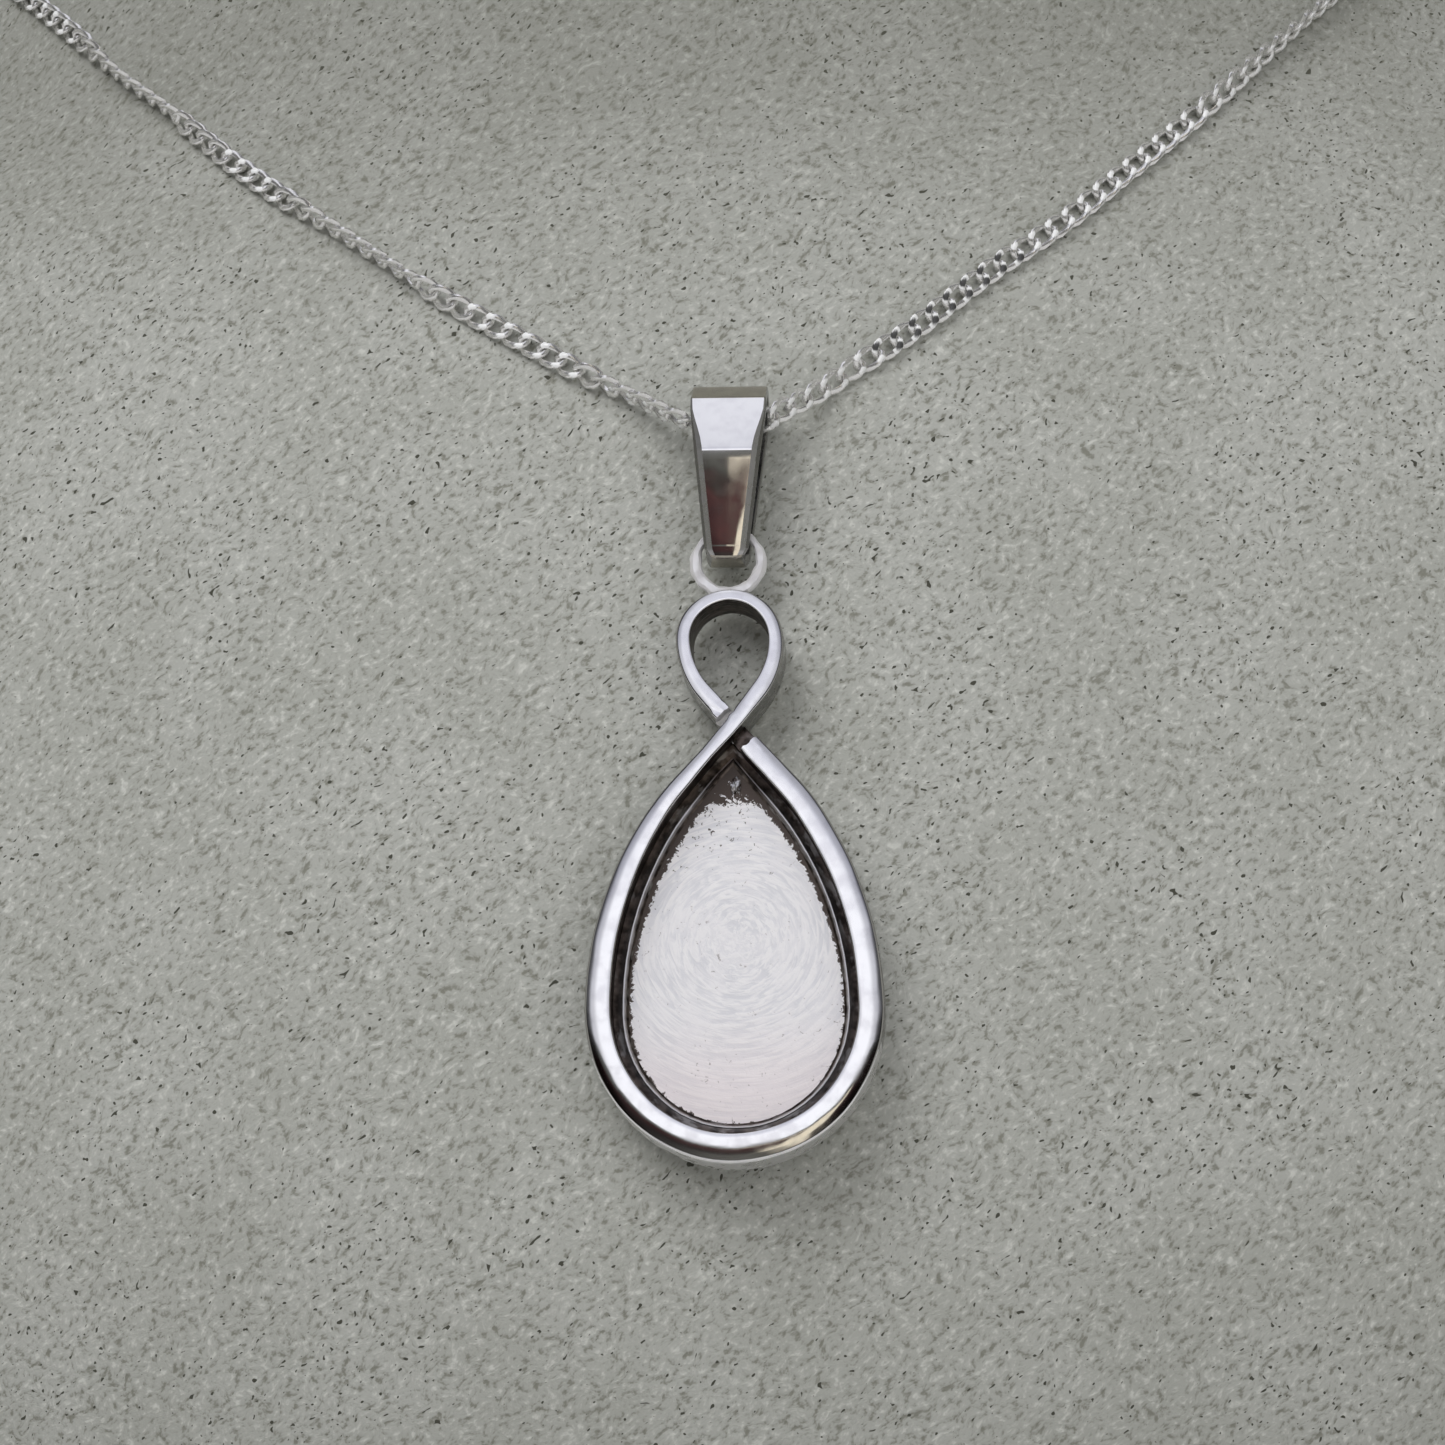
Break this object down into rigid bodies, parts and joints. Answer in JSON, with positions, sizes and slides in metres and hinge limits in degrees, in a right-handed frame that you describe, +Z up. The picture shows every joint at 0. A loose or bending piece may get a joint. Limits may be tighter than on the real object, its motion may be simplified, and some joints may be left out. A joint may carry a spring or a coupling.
{
  "type": "teardrop pendant necklace on neck bust",
  "caption": "Silver necklace on a plain suede neck bust: a fine curb chain, a tapered strap bail and a pendant whose band loops into a teardrop cup, empty and ready for a stone.",
  "frame": {"origin": "centre of the bust's flat underside", "axes": "+Z up the neck, -Y out of the chest towards the viewer, +X to the viewer's right"},
  "size_m": [0.1906, 0.1361, 0.208],
  "materials": {
    "suede": "soft grey-green suede",
    "silver": "polished, with a matt brushed cup floor"
  },
  "bodies": {
    "bust_and_chain": {"neck_bust": "suede", "chain": "silver", "clasp": "silver"},
    "bail": {"bail": "silver"},
    "pendant": {"pendant": "silver"}
  },
  "joints": [
    {"name": "bail_swing", "type": "hinge", "parent": "bust_and_chain", "child": "bail", "pos_m": [0, -0.06466, 0.1148], "axis": [-1, 0, 0], "range_deg": [0, 70]},
    {"name": "pendant_swing", "type": "hinge", "parent": "bail", "child": "pendant", "pos_m": [-0.00026, -0.06692, 0.10919], "axis": [-1, 0, 0], "range_deg": [0, 35]}
  ]
}
